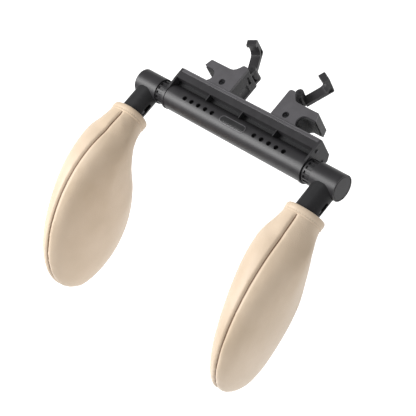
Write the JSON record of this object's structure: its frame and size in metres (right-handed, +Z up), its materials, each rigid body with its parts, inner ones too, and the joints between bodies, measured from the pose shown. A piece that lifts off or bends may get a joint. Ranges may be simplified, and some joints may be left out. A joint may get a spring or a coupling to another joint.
{
  "type": "headrest side support",
  "caption": "Bar that clamps to two headrest posts and carries telescoping, swinging arms with soft leather side pads, and small fold-out bag hooks.",
  "frame": {"origin": "midway between the two post axes, halfway up the clamp jaws", "axes": "+X along the bar towards the part called right, +Y towards the rear, away from the sitter's head, +Z up along the posts"},
  "size_m": [0.2825, 0.305, 0.1589],
  "materials": {
    "charcoal_plastic": "satin",
    "strip_plastic": "satin",
    "black_plastic": "gloss",
    "white_plastic": "satin",
    "board_plastic": "matte",
    "steel": "brushed",
    "dark_steel": "black oxide",
    "rubber": "matte",
    "leather": "soft grain",
    "foam": "matte"
  },
  "bodies": {
    "bar": {"bar_housing": "charcoal_plastic", "guide_rail_upper": "strip_plastic", "guide_rail_lower": "strip_plastic", "end_plate_left": "charcoal_plastic", "end_plate_right": "charcoal_plastic", "end_plate_screws": "dark_steel", "badge_plate": "black_plastic", "guide_bush_left": "white_plastic", "guide_bush_right": "white_plastic", "centre_stop": "black_plastic"},
    "left_slide": {"slide_tube_left": "steel", "button_spring_left": "steel", "snap_button_left": "strip_plastic", "detent_collar_left": "charcoal_plastic", "pivot_bolt_left": "steel", "spring_washer_left": "steel"},
    "left_arm": {"elbow_left": "charcoal_plastic", "elbow_cap_left": "charcoal_plastic", "leg_left": "charcoal_plastic"},
    "left_pad": {"pad_board_left": "board_plastic", "stem_pin_left": "dark_steel", "pad_foam_left": "foam", "pad_cover_left": "leather", "pad_hem_left": "leather"},
    "left_clamp": {"clamp_body_left": "charcoal_plastic", "clamp_plate_left": "strip_plastic", "post_liner_left": "rubber", "clamp_screw_left": "dark_steel", "clamp_nut_left": "steel", "friction_pad_left": "rubber", "hook_pin_left": "dark_steel"},
    "left_hook": {"hook_left": "charcoal_plastic"},
    "right_slide": {"slide_tube_right": "steel", "button_spring_right": "steel", "snap_button_right": "strip_plastic", "detent_collar_right": "charcoal_plastic", "pivot_bolt_right": "steel", "spring_washer_right": "steel"},
    "right_arm": {"elbow_right": "charcoal_plastic", "elbow_cap_right": "charcoal_plastic", "leg_right": "charcoal_plastic"},
    "right_pad": {"pad_board_right": "board_plastic", "stem_pin_right": "dark_steel", "pad_foam_right": "foam", "pad_cover_right": "leather", "pad_hem_right": "leather"},
    "right_clamp": {"clamp_body_right": "charcoal_plastic", "clamp_plate_right": "strip_plastic", "post_liner_right": "rubber", "clamp_screw_right": "dark_steel", "clamp_nut_right": "steel", "friction_pad_right": "rubber", "hook_pin_right": "dark_steel"},
    "right_hook": {"hook_right": "charcoal_plastic"}
  },
  "joints": [
    {"name": "left_extend", "type": "slide", "parent": "bar", "child": "left_slide", "axis": [-1, 0, 0], "range_m": [0, 0.0376]},
    {"name": "left_swing", "type": "hinge", "parent": "left_slide", "child": "left_arm", "pos_m": [-0.1174, -0.0335, 0], "axis": [1, 0, 0], "range_deg": [-90, 90]},
    {"name": "left_pad_adjust", "type": "slide", "parent": "left_arm", "child": "left_pad", "axis": [0, 1, 0], "range_m": [0, 0.008]},
    {"name": "left_clamp_slide", "type": "slide", "parent": "bar", "child": "left_clamp", "axis": [-1, 0, 0], "range_m": [-0.012, 0.02]},
    {"name": "left_hook_swivel", "type": "hinge", "parent": "left_clamp", "child": "left_hook", "pos_m": [-0.0315, 0.0296, 0], "axis": [0, 0, 1], "range_deg": [-55, 20]},
    {"name": "right_extend", "type": "slide", "parent": "bar", "child": "right_slide", "axis": [1, 0, 0], "range_m": [0, 0.0376]},
    {"name": "right_swing", "type": "hinge", "parent": "right_slide", "child": "right_arm", "pos_m": [0.1174, -0.0335, 0], "axis": [1, 0, 0], "range_deg": [-90, 90]},
    {"name": "right_pad_adjust", "type": "slide", "parent": "right_arm", "child": "right_pad", "axis": [0, 1, 0], "range_m": [0, 0.008]},
    {"name": "right_clamp_slide", "type": "slide", "parent": "bar", "child": "right_clamp", "axis": [1, 0, 0], "range_m": [-0.012, 0.02]},
    {"name": "right_hook_swivel", "type": "hinge", "parent": "right_clamp", "child": "right_hook", "pos_m": [0.0315, 0.0296, 0], "axis": [0, 0, -1], "range_deg": [-55, 20]}
  ]
}
